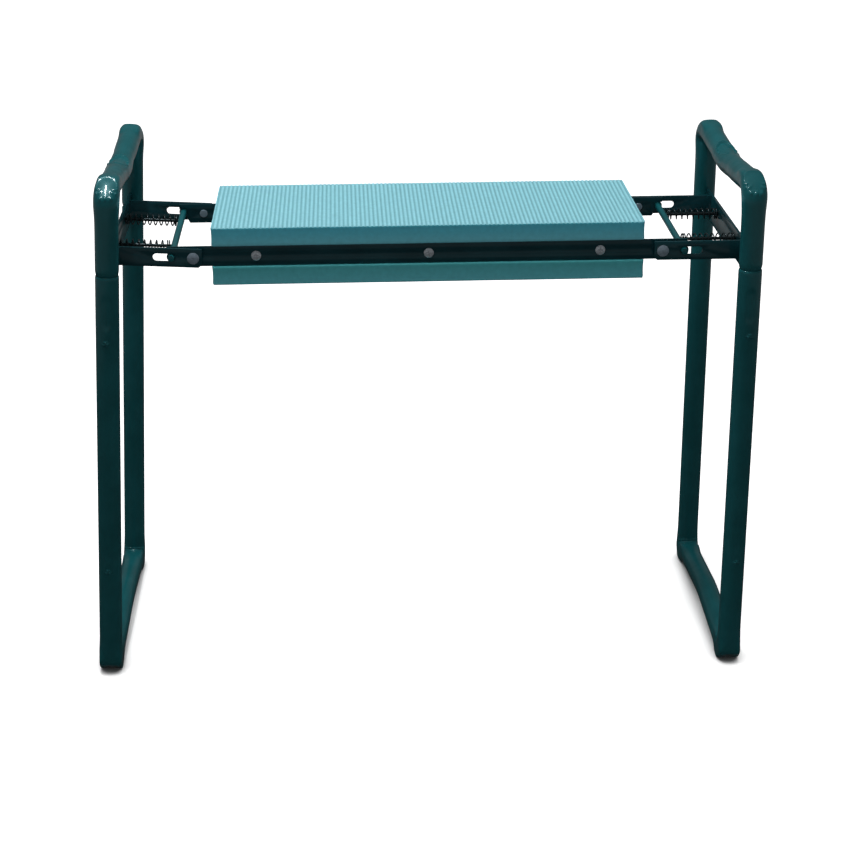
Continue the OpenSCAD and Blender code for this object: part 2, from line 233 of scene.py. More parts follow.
def makeBoard():
    look = {
        "dark": (0.012, 0.016, 0.018),
        "pale": (0.028, 0.033, 0.034),
        "layers": 60,
        "layerStretch": (1, 1, 8),
        "roughness": 0.7,
        "fibres": 300,
        "fibreStretch": (1, 1, 6),
        "fibreBump": (0.3, 0.0004),
    }
    material, tree, shader = newMaterial("darkBoard")
    layers = noiseAt(tree, look["layers"], 6, look["layerStretch"])
    tree.links.new(ramp(tree, layers, mostNoise, (look["dark"], look["pale"])),
                   shader.inputs["Base Color"])
    shader.inputs["Roughness"].default_value = look["roughness"]
    addBump(tree, shader, noiseAt(tree, look["fibres"], 4, look["fibreStretch"]),
            *look["fibreBump"])
    return material


greenPaint = makePaint("greenPowderPaint", (0.006, 0.100, 0.113), (0.010, 0.128, 0.146))
# the rails and brackets get a darker copy of the green paint, as painted shade
shadedRailPaint = makePaint("paintedShadeRailPaint", (0.004, 0.042, 0.053), (0.006, 0.058, 0.072))
zincPlate = makeMetal("brightZinc", (0.70, 0.76, 0.82), (0.15, 0.30), 900, 0.4)
rivetSteel = makeMetal("greyRivetSteel", (0.34, 0.44, 0.53), (0.32, 0.5), 700, 0.25)
springSteel = makeMetal("darkSpringSteel", (0.075, 0.10, 0.11), (0.22, 0.4), 1100, 0.8)
pinSteel = makeMetal("darkPinSteel", (0.05, 0.07, 0.078), (0.3, 0.45), 800, 0.8)
boardStuff = makeBoard()
print("paints, metals and board ready")


# the bent and pressed leg tubes, in mm and degrees

tube = {
    "radius": 10.5,
    "legOut": 72.5,
    "legY": 117.0,
    "bendRadius": 13.5,
    "midRadius": 200.0,
    "sides": 96,
    "ringStep": 1.9,
    "barStep": 0.75,
    "fineStep": 0.4,  # near the small blobs on the legs
    "bendSteps": 56,
    "midSteps": 19,
    "wall": 0.15,  # what lies further inside than this isn't pressed
    "smoothTo": 66,
}

# start and rings are radius and height; the foot tubes are built upwards and turned over at the end
handle = {
    "corner": 67.5,
    "slope": 4.0,
    "start": (9.2, -55.0),
    "rings": [(9.2, -8.0), (9.2, -7.0), (9.55, -6.5), (9.9, -5.6), (10.2, -4.4), (10.4, -3.0),
              (10.5, -1.4)],
}

foot = {
    "corner": 386.5,
    "slope": 4.5,
    "start": (9.3, 57.0),
    "rings": [(9.3, 8.2), (9.32, 7.4), (9.5, 7.05), (9.85, 7.2), (10.2, 7.65), (10.42, 8.3),
              (10.5, 9.4)],
    "legEnds": 20.0,  # before the bend
}

# the pressed slots and the small raised blobs on the legs
dents = {
    "slots": [39.0, 263.0],
    "slotHalf": 11.0,
    "slotEdge": (2.2, 5.2),
    "slotDepth": 0.4,
    "blobs": [67.0, 289.5],
    "blobsAt": [(-0.5, 0.4), (1.9, 0.9), (0.9, -1.3)],
    "blobHigh": 1.5,
    "blobAbove": 1.0,
    "blobBelow": 1.6,
    "blobWide": 1.25,
    "fineReach": 4.5,
}


def ringTo(radius, fromRadius, rise, centre):
    bpy.ops.mesh.extrude_region_move(TRANSFORM_OT_translate={"value": (0, 0, rise * mm)})
    scale = radius / fromRadius
    bpy.ops.transform.resize(value=(scale, scale, 1), center_override=centre)


# half of a tube: from its joint along the leg, round the bend and along the bar to the middle
def halfBow(name, shape):
    radius, z = shape["start"]
    corner, lean = shape["corner"], math.radians(shape["slope"])
    bend, mid = tube["bendRadius"], tube["midRadius"]
    legX, legY = tube["legOut"] * mm, -tube["legY"] * mm
    dropSelection()
    bpy.ops.mesh.primitive_circle_add(vertices=tube["sides"], radius=radius * mm,
                                      fill_type="NGON", location=(legX, legY, z * mm))
    half = bpy.context.object
    half.name = name
    settle(half)
    bpy.ops.object.mode_set(mode="EDIT")
    bpy.ops.mesh.select_mode(type="EDGE")
    bpy.ops.mesh.select_all(action="SELECT")
    bpy.ops.mesh.region_to_loop()
    for nextRadius, nextZ in shape["rings"]:
        ringTo(nextRadius, radius, nextZ - z, (legX, legY, nextZ * mm))
        radius, z = nextRadius, nextZ
    reach = dents["fineReach"]
    stops = [stop for at in dents["blobs"]
             for stop in ((at - reach, "ringStep"), (at + reach, "fineStep"))]
    stops = [stop for stop in stops if z < stop[0] < corner - bend]
    for top, step in stops + [(corner - bend, "ringStep")]:
        steps = max(1, round((top - z) / tube[step]))
        bpy.ops.mesh.extrude_repeat(steps=steps, offset=(0, 0, (top - z) / steps * mm))
        z = top
    bpy.ops.mesh.spin(steps=tube["bendSteps"], angle=math.pi / 2 + lean, axis=(1, 0, 0),
                      center=(legX, legY + bend * mm, (corner - bend) * mm))
    run = (tube["legY"] - bend - (bend + mid) * math.sin(lean)) / math.cos(lean)
    steps = round(run / tube["barStep"])
    step = run / steps * mm
    bpy.ops.mesh.extrude_repeat(steps=steps,
                                offset=(0, step * math.cos(lean), -step * math.sin(lean)))
    endY = -mid * math.sin(lean)
    endZ = (corner - bend * (1 - math.cos(lean)) - run * math.sin(lean))
    bpy.ops.mesh.spin(steps=tube["midSteps"], angle=-lean, axis=(1, 0, 0),
                      center=(legX, (endY + mid * math.sin(lean)) * mm,
                              (endZ + mid * math.cos(lean)) * mm))
    bpy.ops.object.mode_set(mode="OBJECT")
    return half


# a point of a tube as its way along the middle line, and its distance to the bend's outer side
def tubePlace(away, z, shape):
    corner, lean = shape["corner"], math.radians(shape["slope"])
    bend, mid = tube["bendRadius"], tube["midRadius"]
    midA, midZ = tube["legY"] - bend, corner - bend
    full = math.pi / 2 + lean
    if z < midZ and away > midA - bend:
        return z - midZ, away - tube["legY"], (1, 0)
    phi = math.atan2(z - midZ, away - midA)
    if phi <= full:
        reach = math.hypot(away - midA, z - midZ)
        return bend * phi, reach - bend, (math.cos(phi), math.sin(phi))
    run = (midA - (bend + mid) * math.sin(lean)) / math.cos(lean)
    if away < mid * math.sin(lean):
        centreZ = corner - bend * (1 - math.cos(lean)) - run * math.sin(lean) + mid * math.cos(lean)
        reach = math.hypot(away, centreZ - z)
        return bend * full + run, mid - reach, (-away / reach, (centreZ - z) / reach)
    normal = (-math.sin(lean), math.cos(lean))
    along = (-math.cos(lean), -math.sin(lean))
    fromBend = (away - midA - bend * normal[0], z - midZ - bend * normal[1])
    s = bend * full + fromBend[0] * along[0] + fromBend[1] * along[1]
    return s, fromBend[0] * normal[0] + fromBend[1] * normal[1], normal


# theta is the angle round the tube from the outer side of its bends, s the way along it from the
# start of the bend; a run says where on that way something starts and ends, and how softly
press = {
    "outerSide": (-0.3, 0.6),
    "handleSquare": (0.80, 5),
    "handleSquareRun": (21.0, 40.0, 2.5),
    "handleWide": 0.10,
    "handleWideRun": (-4, 22, 4.0),
    "footSquare": (1.0, 8),
    "footSquareRun": (5.0, 27.0, 2.5),
    "footWide": 0.05,
    "footWideRun": (-3, 30, 3.0),
    "facetAngle": 47.0,
    "facetAway": 26.2,
    "facetSoft": 24,
    "hollow": 2.0,
    "hollowRun": (10, 22, 1.8),
    "hollowRound": 0.7,
    "innerSquare": 0.85,
    "innerRun": (17, 32, 4.0),
    "innerCrimp": 0.9,
    "innerStart": 3,
    "innerSize": (0.16, 2.0),
    "innerAt": [(-1.0, 2.5), (-0.55, 0.8), (-0.1, 2.0), (0.4, 0.6), (0.9, 2.2)],
}

# the slightly domed ovals struck flat on the handle bends
oval = {
    "angle": 57.0,
    "away": 21.3,  # from the centre of the bend
    "crossRound": 19.0,
    "alongRound": 60.0,
    "narrow": 0.92,
    "turn": 1.2,
    "above": -4.0,
    "soft": 0.35,
    "rim": 0.55,
    "rimOut": 0.1,
    "rimWide": 0.55,
    "rimFade": (-1.0, 2.5),
    "crimp": 0.8,
    "crimpSize": (1.0, 0.75),
    "crimpsAt": [(-172, 0.2), (-155, -1.0), (-140, 0.3), (-124, -1.2), (-108, 0.2), (-90, -0.2),
                 (-73, 0.4), (-56, -1.0), (-40, 0.3), (-24, -1.0), (-8, 0.2)],
}

# the flattened dip near the middle of the handles, which ends more steeply towards the rear
dip = {
    "middle": 13.0,
    "half": 21.0,
    "within": 60.0,
    "round": 0.95,
    "steepOver": (-6, 6),
    "flat": 1.9,
    "flatEdge": (0.55, 0.5),  # start and fade on the gentle side
    "steepEdge": (0.31, 0.37),  # what the steep side adds to the one and takes off the other
    "rim": 0.35,
    "rimAt": 1.03,
    "rimWide": 0.06,
    "crimp": 0.7,
    "crimpSize": (0.12, 1.4),
    "crimpsAt": [(-0.80, 8.0), (-0.95, 22.0), (-0.25, -6.0), (0.30, -7.0), (0.85, 3.0),
                 (0.98, 16.0), (0.20, 20.0)],
    "wide": 0.08,
    "wideSoft": 3.0,
    "narrow": (0.05, 32, 11),
}


def squareness(theta, power):
    return (abs(math.cos(theta)) ** power + abs(math.sin(theta)) ** power) ** (-1 / power) - 1


# how far the outer wall of a foot bend stands out, drawn straight on both sides of a flat facet
def facetLift(phi, full):
    wall = tube["bendRadius"] + tube["radius"]
    soft = press["facetSoft"]
    facet = (press["facetAway"], math.radians(press["facetAngle"]))
    total = 0
    # the nearest of three planes, blended softly; one seen from behind hardly counts
    for away, middle in ((wall, 0), (wall, full), facet):
        total += (max(0.02, math.cos(phi - middle)) / away) ** soft
    return total ** (-1 / soft) - wall


# what the struck oval takes off, with a rim above it and crimps round its foot
def struckOval(reach, phi, across):
    turn = phi - math.radians(oval["angle"])
    if abs(turn) > oval["turn"]:
        return 0
    t = reach * math.sin(turn)
    dome = across ** 2 / (2 * oval["crossRound"]) + t ** 2 / (2 * oval["alongRound"])
    beyond = reach * math.cos(turn) - (oval["away"] - dome)
    soft = oval["soft"]
    # 40 only keeps the exponent in range
    kept = -soft * math.log(1 + math.exp(min(40, beyond / soft)))
    around = math.degrees(math.atan2(t, across))
    out = oval["rim"] * bump(beyond + oval["rimOut"], oval["rimWide"]) * smooth(t, *oval["rimFade"])
    wide, deep = oval["crimpSize"]
    for at, shift in oval["crimpsAt"]:
        gap = math.radians((around - at + 180) % 360 - 180) * math.hypot(t, across)
        if abs(gap) < 4 * wide:
            out += oval["crimp"] * bump(gap, wide) * bump(beyond + shift, deep)
    return (kept + out) / math.cos(turn)


# each of the next three gives a move away from the tube's middle, a lift outwards, and a widening

def pressedFoot(s, theta, full):
    phi = s / tube["bendRadius"]
    outer = smooth(math.cos(theta), *press["outerSide"])
    lift = outer * facetLift(phi, full) if 0 < phi < full else 0
    lift -= press["hollow"] * plateau(s, *press["hollowRun"]) * bump(theta, press["hollowRound"])
    square, power = press["footSquare"]
    boxy = square * tube["radius"] * squareness(theta, power)
    move = boxy * outer * plateau(s, *press["footSquareRun"])
    move += press["innerSquare"] * boxy * (1 - outer) * plateau(s, *press["innerRun"])
    back = math.copysign(math.pi - abs(theta), theta)
    wide, long = press["innerSize"]
    for at, shift in press["innerAt"]:
        way = s - shift - press["innerStart"]
        move += press["innerCrimp"] * bump(back - at, wide) * bump(way, long)
    return move, lift, press["footWide"] * plateau(s, *press["footWideRun"])


def pressedHandle(s, theta, full, outward, across):
    outer = smooth(math.cos(theta), *press["outerSide"])
    square, power = press["handleSquare"]
    boxy = square * tube["radius"] * squareness(theta, power)
    move = boxy * outer * plateau(s, *press["handleSquareRun"])
    lift = 0
    if outward > oval["above"]:
        reach, angle = tube["bendRadius"] + outward, s / tube["bendRadius"]
        if s < 0:
            reach, angle = math.hypot(reach, s), math.atan2(s, reach)
        elif angle > full:
            beyond = s - full * tube["bendRadius"]
            reach, angle = math.hypot(reach, beyond), full + math.atan2(beyond, reach)
        lift = struckOval(reach, angle, across * oval["narrow"])
    return move, lift, press["handleWide"] * plateau(s, *press["handleWideRun"])


def pressedMiddle(y, theta):
    along = y - dip["middle"]
    reach = math.hypot(along / dip["half"], theta / dip["round"])
    steep = smooth(along, *dip["steepOver"])
    start = dip["flatEdge"][0] + dip["steepEdge"][0] * steep
    end = start + dip["flatEdge"][1] - dip["steepEdge"][1] * steep
    lift = -dip["flat"] * (1 - smooth(reach, start, end))
    move = dip["rim"] * bump(reach - dip["rimAt"], dip["rimWide"]) * steep
    wide, long = dip["crimpSize"]
    for at, shift in dip["crimpsAt"]:
        move += dip["crimp"] * bump(theta - at, wide) * bump(y - shift, long)
    narrowing, shift, reach = dip["narrow"]
    widening = dip["wide"] * fall(abs(along), dip["half"], dip["wideSoft"])
    return move, lift, widening - narrowing * bump(y + shift, reach)


def pressedLeg(z, theta):
    arc = theta * tube["radius"]
    move = 0
    for middle in dents["slots"]:
        beyond = max(0, abs(z - middle) - dents["slotHalf"])
        move -= dents["slotDepth"] * (1 - smooth(math.hypot(beyond, arc), *dents["slotEdge"]))
    for middle in dents["blobs"]:
        for aside, below in dents["blobsAt"]:
            along = z - middle - below
            wedge = min(1 + along / dents["blobAbove"], 1 - along / dents["blobBelow"])
            if wedge > 0:
                move += dents["blobHigh"] * wedge * bump(arc - aside, dents["blobWide"])
    return move


def pressTube(obj, shape, isFoot):
    legX = tube["legOut"]
    full = math.pi / 2 + math.radians(shape["slope"])
    for vertex in obj.data.vertices:
        x, y, z = (c / mm for c in vertex.co)
        s, outward, normal = tubePlace(abs(y), z, shape)
        across = x - legX
        radius = math.hypot(across, outward)
        if radius < tube["radius"] - tube["wall"]:
            continue
        theta = math.atan2(across, outward)
        if isFoot:
            move, lift, wide = pressedFoot(s, theta, full)
            if s < -foot["legEnds"]:
                move += pressedLeg(z, theta)
        else:
            move, lift, wide = pressedHandle(s, theta, full, outward, across)
            if abs(y) < dip["within"]:
                more = pressedMiddle(y, theta)
                move, lift, wide = move + more[0], lift + more[1], wide + more[2]
        shift = move * outward / radius + lift
        newAcross = across * (1 + wide) + move * across / radius
        side = 1 if y >= 0 else -1
        vertex.co = ((legX + newAcross) * mm, (y + side * shift * normal[0]) * mm,
                     (z + shift * normal[1]) * mm)
    obj.data.update()


def wholeTube(side, name, shape, isFoot):
    obj = halfBow(name, shape)
    # the last ring is still selected, and goes onto the plane that the other half mirrors
    for vertex in obj.data.vertices:
        if vertex.select:
            vertex.co.y = 0
    mirror = obj.modifiers.new("otherHalf", "MIRROR")
    mirror.use_axis = (False, True, False)
    mirror.merge_threshold = 0.00001
    applyAll(obj)
    pressTube(obj, shape, isFoot)
    if isFoot:
        obj.data.transform(Matrix.Scale(-1, 4, (0, 0, 1)))
    obj.data.transform(sideMatrix(side))
    faceOutwards(obj)
    bpy.ops.object.shade_smooth_by_angle(angle=math.radians(tube["smoothTo"]))
    return obj


for side in ("left", "right"):
    legBody = side + "_legs"
    upper = wholeTube(side, side + "HandleTube", handle, False)
    dress(upper, legBody, greenPaint, "green_paint", side + "_handle_tube")
    lower = wholeTube(side, side + "FootTube", foot, True)
    dress(lower, legBody, greenPaint, "green_paint", side + "_foot_tube")
print("tubes bent and pressed")


# pieces that keep the shape of the part, with their edges eased by a width in mm, in segments

eased = {
    "rail": (0.35, 3),
    "screw": (0.14, 2),
    "board": (0.5, 2),
    "rivet": (0.3, 3),
    "spacer": (0.3, 2),
    "bracket": (0.45, 3),
    "rod": (0.4, 3),
    "flatWithin": 0.4,
    "edgeFrom": 40,
    "smoothTo": 35,
}


def easedCopy(node, name, kind, body, material, slotName):
    obj = bpy.data.objects.new(name, nodes[node].data.copy())
    bpy.context.scene.collection.objects.link(obj)
    pickOnly(obj)
    bpy.ops.object.mode_set(mode="EDIT")
    bpy.ops.mesh.select_all(action="SELECT")
    bpy.ops.mesh.remove_doubles(threshold=0.000002)
    bpy.ops.mesh.dissolve_limited(angle_limit=math.radians(eased["flatWithin"]))
    bpy.ops.object.mode_set(mode="OBJECT")
    width, segments = eased[kind]
    edge = obj.modifiers.new("easedEdges", "BEVEL")
    edge.width = width * mm
    edge.segments = segments
    edge.limit_method = "ANGLE"
    edge.angle_limit = math.radians(eased["edgeFrom"])
    edge.harden_normals = False
    applyAll(obj)
    bpy.ops.object.shade_smooth_by_angle(angle=math.radians(eased["smoothTo"]))
    dress(obj, body, material, slotName, node)


for face in ("front", "rear"):
    easedCopy("rail_" + face, face + "Rail", "rail", "seat", shadedRailPaint, "green_paint")
    easedCopy("screws_" + face, face + "Screws", "screw", "seat", zincPlate, "screw")
easedCopy("core_board", "coreBoard", "board", "seat", boardStuff, "board")
for side in ("left", "right"):
    legBody, lockBody = side + "_legs", side + "_lock"
    easedCopy(side + "_pivot_rivets", side + "PivotRivets", "rivet", "seat", rivetSteel, "rivet")
    easedCopy(side + "_pivot_spacers", side + "PivotSpacers", "spacer", "seat", rivetSteel,
              "rivet")
    easedCopy(side + "_bracket", side + "Bracket", "bracket", legBody, shadedRailPaint, "green_paint")
    easedCopy(side + "_lock_rod", side + "LockRod", "rod", lockBody, greenPaint, "green_paint")
    for face in ("front", "rear"):
        easedCopy(side + "_guide_pin_" + face, side + "GuidePin" + face.capitalize(),
                  "rod", lockBody, pinSteel, "rod")
print("rails, brackets, rods and fasteners eased")


# the springs, wound as round wire, in mm along the leg frame's X

spring = {
    "from": 22.7,
    "to": 72.3,
    "outY": 43.0,
    "coilRadius": 4.7,
    "wireRadius": 0.65,
    "wireSides": 12,
    "stepsPerTurn": 22,
    "openTurns": 8,
    "closedTurns": 1.5,
    "closedPitch": 1.75,
    "travel": 12.8,
    "smoothTo": 60,
}


def woundSpring(side, face, springName, node):
    turns = spring["openTurns"] + 2 * spring["closedTurns"]
    steps = round(spring["stepsPerTurn"] * turns)
    startX = spring["from"] + spring["wireRadius"]
    length = spring["to"] - spring["from"] - 2 * spring["wireRadius"]
    dropSelection()
    bpy.ops.mesh.primitive_circle_add(vertices=spring["wireSides"],
                                      radius=spring["wireRadius"] * mm,
                                      location=(0, spring["coilRadius"] * mm, 0))
    obj = bpy.context.object
    obj.name = springName
    settle(obj)
    wind = obj.modifiers.new("windings", "SCREW")
    wind.axis = "X"
    wind.angle = 2 * math.pi * turns
    wind.screw_offset = length * mm
    wind.steps = steps
    wind.render_steps = steps
    wind.use_smooth_shade = True
    applyAll(obj)
    # wound evenly so far; the turns at both ends are closed up
    closed, pitch = spring["closedTurns"], spring["closedPitch"]
    openPitch = (length - 2 * closed * pitch) / spring["openTurns"]
    for index, vertex in enumerate(obj.data.vertices):
        turn = turns * (index // spring["wireSides"]) / steps
        if turn < closed:
            want = pitch * turn
        elif turn < turns - closed:
            want = pitch * closed + openPitch * (turn - closed)
        else:
            want = length - pitch * (turns - turn)
        vertex.co.x += (startX + want - length * turn / turns) * mm
    pickOnly(obj)
    bpy.ops.object.mode_set(mode="EDIT")
    bpy.ops.mesh.select_mode(type="EDGE")
    bpy.ops.mesh.select_all(action="DESELECT")
    bpy.ops.mesh.select_non_manifold()
    bpy.ops.mesh.edge_face_add()
    faceOutwards(obj)
    sign = (1 if side == "right" else -1) * (1 if face == "rear" else -1)
    place = sideMatrix(side) @ Matrix.Translation((0, sign * spring["outY"] * mm, 0))
    obj.data.transform(place)
    bpy.ops.object.shade_smooth_by_angle(angle=math.radians(spring["smoothTo"]))
    dress(obj, side + "_legs", springSteel, "spring", node)
    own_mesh(obj)


for side in ("left", "right"):
    for face in ("front", "rear"):
        woundSpring(side, face, side + "Spring" + face.capitalize(),
                    side + "_spring_" + face)
print("springs wound")


# the ribbed foam pads, in mm; a step of edge is a way out and a depth from the ribbed face, one of
# farEdge a way out from there and a height above the far face

pad = {
    "length": 390.0,
    "width": 154.0,
    "thick": 17.0,
    "fromMiddle": 9.5,
    "pitch": 3.9,
    "columns": 600,
    "rows": 40,
    "edge": [(0.28, 0.10), (0.5, 0.38), (0.6, 0.9), (0.6, 1.8)],
    "waistRows": 7,
    "waistEnd": 0.9,  # above the far face
    "farEdge": [(-0.15, 0.35), (-0.6, 0.0)],
    "waist": 0.4,
    "corner": 2.6,
    "grooveDepth": 0.7,
    "grooveShape": 2.2,
    "grooveSide": (0.3, 2.4),  # where the grooves fade down the sides
    "grooveRunOut": (1.5, 6.0),  # how the lower pad's grooves end at its long edges
    "sag": 0.05,
    "sagWaves": (17.0, 1.3, 23.0),  # length and shift along X, length along Y
    "endWaves": ((0.2, 9.0), (0.15, 3.7)),  # height and length of each
    "endSlant": 0.5,
    "endShare": 0.6,
    "sideWaves": ((0.16, 21.0), (0.1, 8.3)),
    "sideShift": 2,
    "sideShares": (0.6, 0.15, 0.5),  # of the waist, of a plain step inwards, and of the waves
    "wallWithin": 1.2,
    "smoothTo": 70,
}


# upward is 1 for the pad whose ribs face up, -1 for the one whose ribs face down
def makeFoam(name, upward, cutByRail, cutByRibs):
    look = {
        # the crest colour is painted light on the tops of the ribs, and the groove colour is
        # painted shade between them
        "crestPaintedLight": (0.28, 0.60, 0.68),
        "groove": (0.16, 0.39, 0.45),
        "ribPaintedShadeSpan": (0.05, 0.75),
        "faceSpan": (0.35, 0.7),
        "cutSpan": (0.05, 0.75),
        "mottle": 210,
        "mottleDark": 0.90,
        "roughness": 0.85,
        "shine": 0.12,
        "pores": 1400,
        "poreBump": (0.35, 0.0003),
    }
    material, tree, shader = newMaterial(name)
    place = tree.nodes.new("ShaderNodeTexCoord")
    split = tree.nodes.new("ShaderNodeSeparateXYZ")
    tree.links.new(place.outputs["Object"], split.inputs["Vector"])
    middleX, middleZ = (value * mm for value in hang["seatMiddle"])
    turns = maths(tree, "MULTIPLY", maths(tree, "SUBTRACT", split.outputs["X"], middleX),
                  2 * math.pi / (pad["pitch"] * mm))
    # the ribbed face is painted lighter on the crests and darker in the grooves, as painted light
    # and shade over the real grooves
    wave = maths(tree, "MULTIPLY_ADD", maths(tree, "COSINE", turns), 0.5, 0.5)
    ribs = ramp(tree, wave, look["ribPaintedShadeSpan"], (look["groove"], look["crestPaintedLight"]))
    geometry = tree.nodes.new("ShaderNodeNewGeometry")
    normal = tree.nodes.new("ShaderNodeSeparateXYZ")
    tree.links.new(geometry.outputs["Normal"], normal.inputs["Vector"])
    ribbed = ramp(tree, maths(tree, "MULTIPLY", normal.outputs["Z"], upward),
                  look["faceSpan"], (grey(0), grey(1)))
    height = maths(tree, "MULTIPLY", maths(tree, "SUBTRACT", split.outputs["Z"], middleZ), upward)
    level = maths(tree, "DIVIDE", maths(tree, "SUBTRACT", height, pad["fromMiddle"] * mm),
                  pad["thick"] * mm)
    cut = ramp(tree, level, look["cutSpan"], (cutByRail, cutByRibs))
    whole = blendColours(tree, ribbed, cut, ribs)
    mottle = ramp(tree, noiseAt(tree, look["mottle"], 5), mostNoise,
                  (grey(look["mottleDark"]), grey(1)))
    tree.links.new(blendColours(tree, 1.0, whole, mottle, "MULTIPLY"), shader.inputs["Base Color"])
    shader.inputs["Roughness"].default_value = look["roughness"]
    shader.inputs["Specular IOR Level"].default_value = look["shine"]
    addBump(tree, shader, noiseAt(tree, look["pores"], 3), *look["poreBump"])
    return material


# a point of a plain block moved to where the ribs, the uneven cut and the waist of a pad put it
def foamPoint(x, y, z, upward):
    depth = -z
    halfL, halfW, corner = pad["length"] / 2, pad["width"] / 2, pad["corner"]
    overX, overY = abs(x) - halfL + corner, abs(y) - halfW + corner
    if overX > 0 and overY > 0:
        pull = min(1, corner / math.hypot(overX, overY))
        x = math.copysign(halfL - corner + overX * pull, x)
        y = math.copysign(halfW - corner + overY * pull, y)
    groove = abs(math.sin(math.pi * x / pad["pitch"])) ** pad["grooveShape"]
    if not upward:
        groove *= smooth(halfW - abs(y), *pad["grooveRunOut"])
    fade = 1 - smooth(depth, *pad["grooveSide"])
    z -= pad["grooveDepth"] * groove * fade
    lengthX, shift, lengthY = pad["sagWaves"]
    z += pad["sag"] * math.sin(x / lengthX + shift) * math.sin(y / lengthY) * fade
    drawn = pad["waist"] * math.sin(math.pi * min(1, depth / pad["thick"]))
    if abs(x) > halfL - pad["wallWithin"]:
        (slow, slowLength), (quick, quickLength) = pad["endWaves"]
        wave = slow * math.sin(y / slowLength + depth * pad["endSlant"])
        wave += quick * math.sin(y / quickLength)
        x -= math.copysign(drawn + wave * fade * pad["endShare"], x)
    if abs(y) > halfW - pad["wallWithin"]:
        (slow, slowLength), (quick, quickLength) = pad["sideWaves"]
        wave = slow * math.sin(x / slowLength)
        wave += quick * math.sin(x / quickLength + pad["sideShift"])
        ofWaist, step, ofWaves = pad["sideShares"]
        y -= math.copysign(ofWaist * drawn + step + ofWaves * wave, y)
    return x, y, z


def foamPad(name, node, material, upward):
    inset, lipDepth = pad["edge"][-1]
    topL, topW = pad["length"] - 2 * inset, pad["width"] - 2 * inset
    dropSelection()
    bpy.ops.mesh.primitive_grid_add(x_subdivisions=pad["columns"], y_subdivisions=pad["rows"],
                                    size=1)
    obj = bpy.context.object
    obj.name = name
    obj.scale = (topL * mm, topW * mm, 1)
    settle(obj)
    bpy.ops.object.mode_set(mode="EDIT")
    bpy.ops.mesh.select_mode(type="EDGE")
    bpy.ops.mesh.select_all(action="SELECT")
    bpy.ops.mesh.region_to_loop()
    waist = pad["thick"] - lipDepth - pad["waistEnd"]
    rows = pad["edge"] + [(inset, lipDepth + waist * (i + 1) / pad["waistRows"])
                          for i in range(pad["waistRows"])]
    rows += [(inset + out, pad["thick"] - above) for out, above in pad["farEdge"]]
    outset, depth = 0.0, 0.0
    for nextOut, nextDepth in rows:
        bpy.ops.mesh.extrude_region_move(
            TRANSFORM_OT_translate={"value": (0, 0, (depth - nextDepth) * mm)})
        bpy.ops.transform.resize(
            value=((topL + 2 * nextOut) / (topL + 2 * outset),
                   (topW + 2 * nextOut) / (topW + 2 * outset), 1),
            center_override=(0, 0, -nextDepth * mm))
        outset, depth = nextOut, nextDepth
    bpy.ops.mesh.edge_face_add()
    bpy.ops.object.mode_set(mode="OBJECT")
    for vertex in obj.data.vertices:
        point = foamPoint(*(c / mm for c in vertex.co), upward)
        vertex.co = tuple(c * mm for c in point)
    middleX, middleZ = hang["seatMiddle"]
    rise = pad["fromMiddle"] + pad["thick"]
    if not upward:
        obj.data.transform(Matrix.Scale(-1, 4, (0, 0, 1)))
        rise = -rise
    obj.data.transform(Matrix.Translation((middleX * mm, 0, (middleZ + rise) * mm)))
    faceOutwards(obj)
    bpy.ops.object.shade_smooth_by_angle(angle=math.radians(pad["smoothTo"]))
    dress(obj, "seat", material, "foam", node)


upperFoam = makeFoam("upperFoam", 1, (0.185, 0.63, 0.75), (0.125, 0.63, 0.80))
lowerFoam = makeFoam("lowerFoam", -1, (0.10, 0.53, 0.57), (0.14, 0.58, 0.66))
foamPad("upperFoamPad", "foam_top", upperFoam, True)
foamPad("lowerFoamPad", "foam_bottom", lowerFoam, False)
print("pads cut and ribbed")


# floor, room and lamps, in m; a step is two values and the strengths that it goes between

studio = {
    "floorSize": 16.0,
    "leftFoot": (-0.2936, 0.00432),
    "rightFoot": (0.2936, 0.0),
    "floorBelow": 0.0001,
    "floorTone": 0.80,
    "bounceTone": 0.32,
    "contactReach": 0.07,
    "contactStep": (0.28, 0.90, 0.0, 1.0),
    "glowStep": (0.7, 2.0, 0.82, 1.0),
    "floorShineStep": (1.1, 1.7, 0.02, 0.17),
    "roomStep": (-0.1, 0.8, 0.165, 0.40),  # from the camera's side to behind the kneeler
    "roomShineStep": (0.0, 0.4, 0.09, 0.05),  # from the horizon upwards
    # glints says whether the lamp itself is mirrored in the paint
    "key": {"size": (0.08, 0.60), "power": 9.5, "at": (-0.36, -0.10, 1.75),
            "aim": (-0.36, 0, 0.3), "glints": True},
    "soft": {"size": (1.8, 1.8), "power": 17.5, "at": (0.1, 0.30, 1.9),
             "aim": (0, 0, 0.3), "glints": False},
}


def stepBetween(tree, value, low, high, fromLevel, toLevel):
    node = tree.nodes.new("ShaderNodeMapRange")
    node.interpolation_type = "SMOOTHSTEP"
    for name, number in (("From Min", low), ("From Max", high),
                         ("To Min", fromLevel), ("To Max", toLevel)):
        node.inputs[name].default_value = number
    tree.links.new(value, node.inputs["Value"])
    return node.outputs["Result"]


# plain is what lights the kneeler, mirrored what shows in its gloss, seen what the camera gets
def showApart(tree, plain, mirrored, seen, output):
    path = tree.nodes.new("ShaderNodeLightPath")
    for ray, other in (("Is Glossy Ray", mirrored), ("Is Camera Ray", seen)):
        mix = tree.nodes.new("ShaderNodeMixShader")
        tree.links.new(path.outputs[ray], mix.inputs[0])
        tree.links.new(plain, mix.inputs[1])
        tree.links.new(other, mix.inputs[2])
        plain = mix.outputs["Shader"]
    tree.links.new(plain, output.inputs["Surface"])


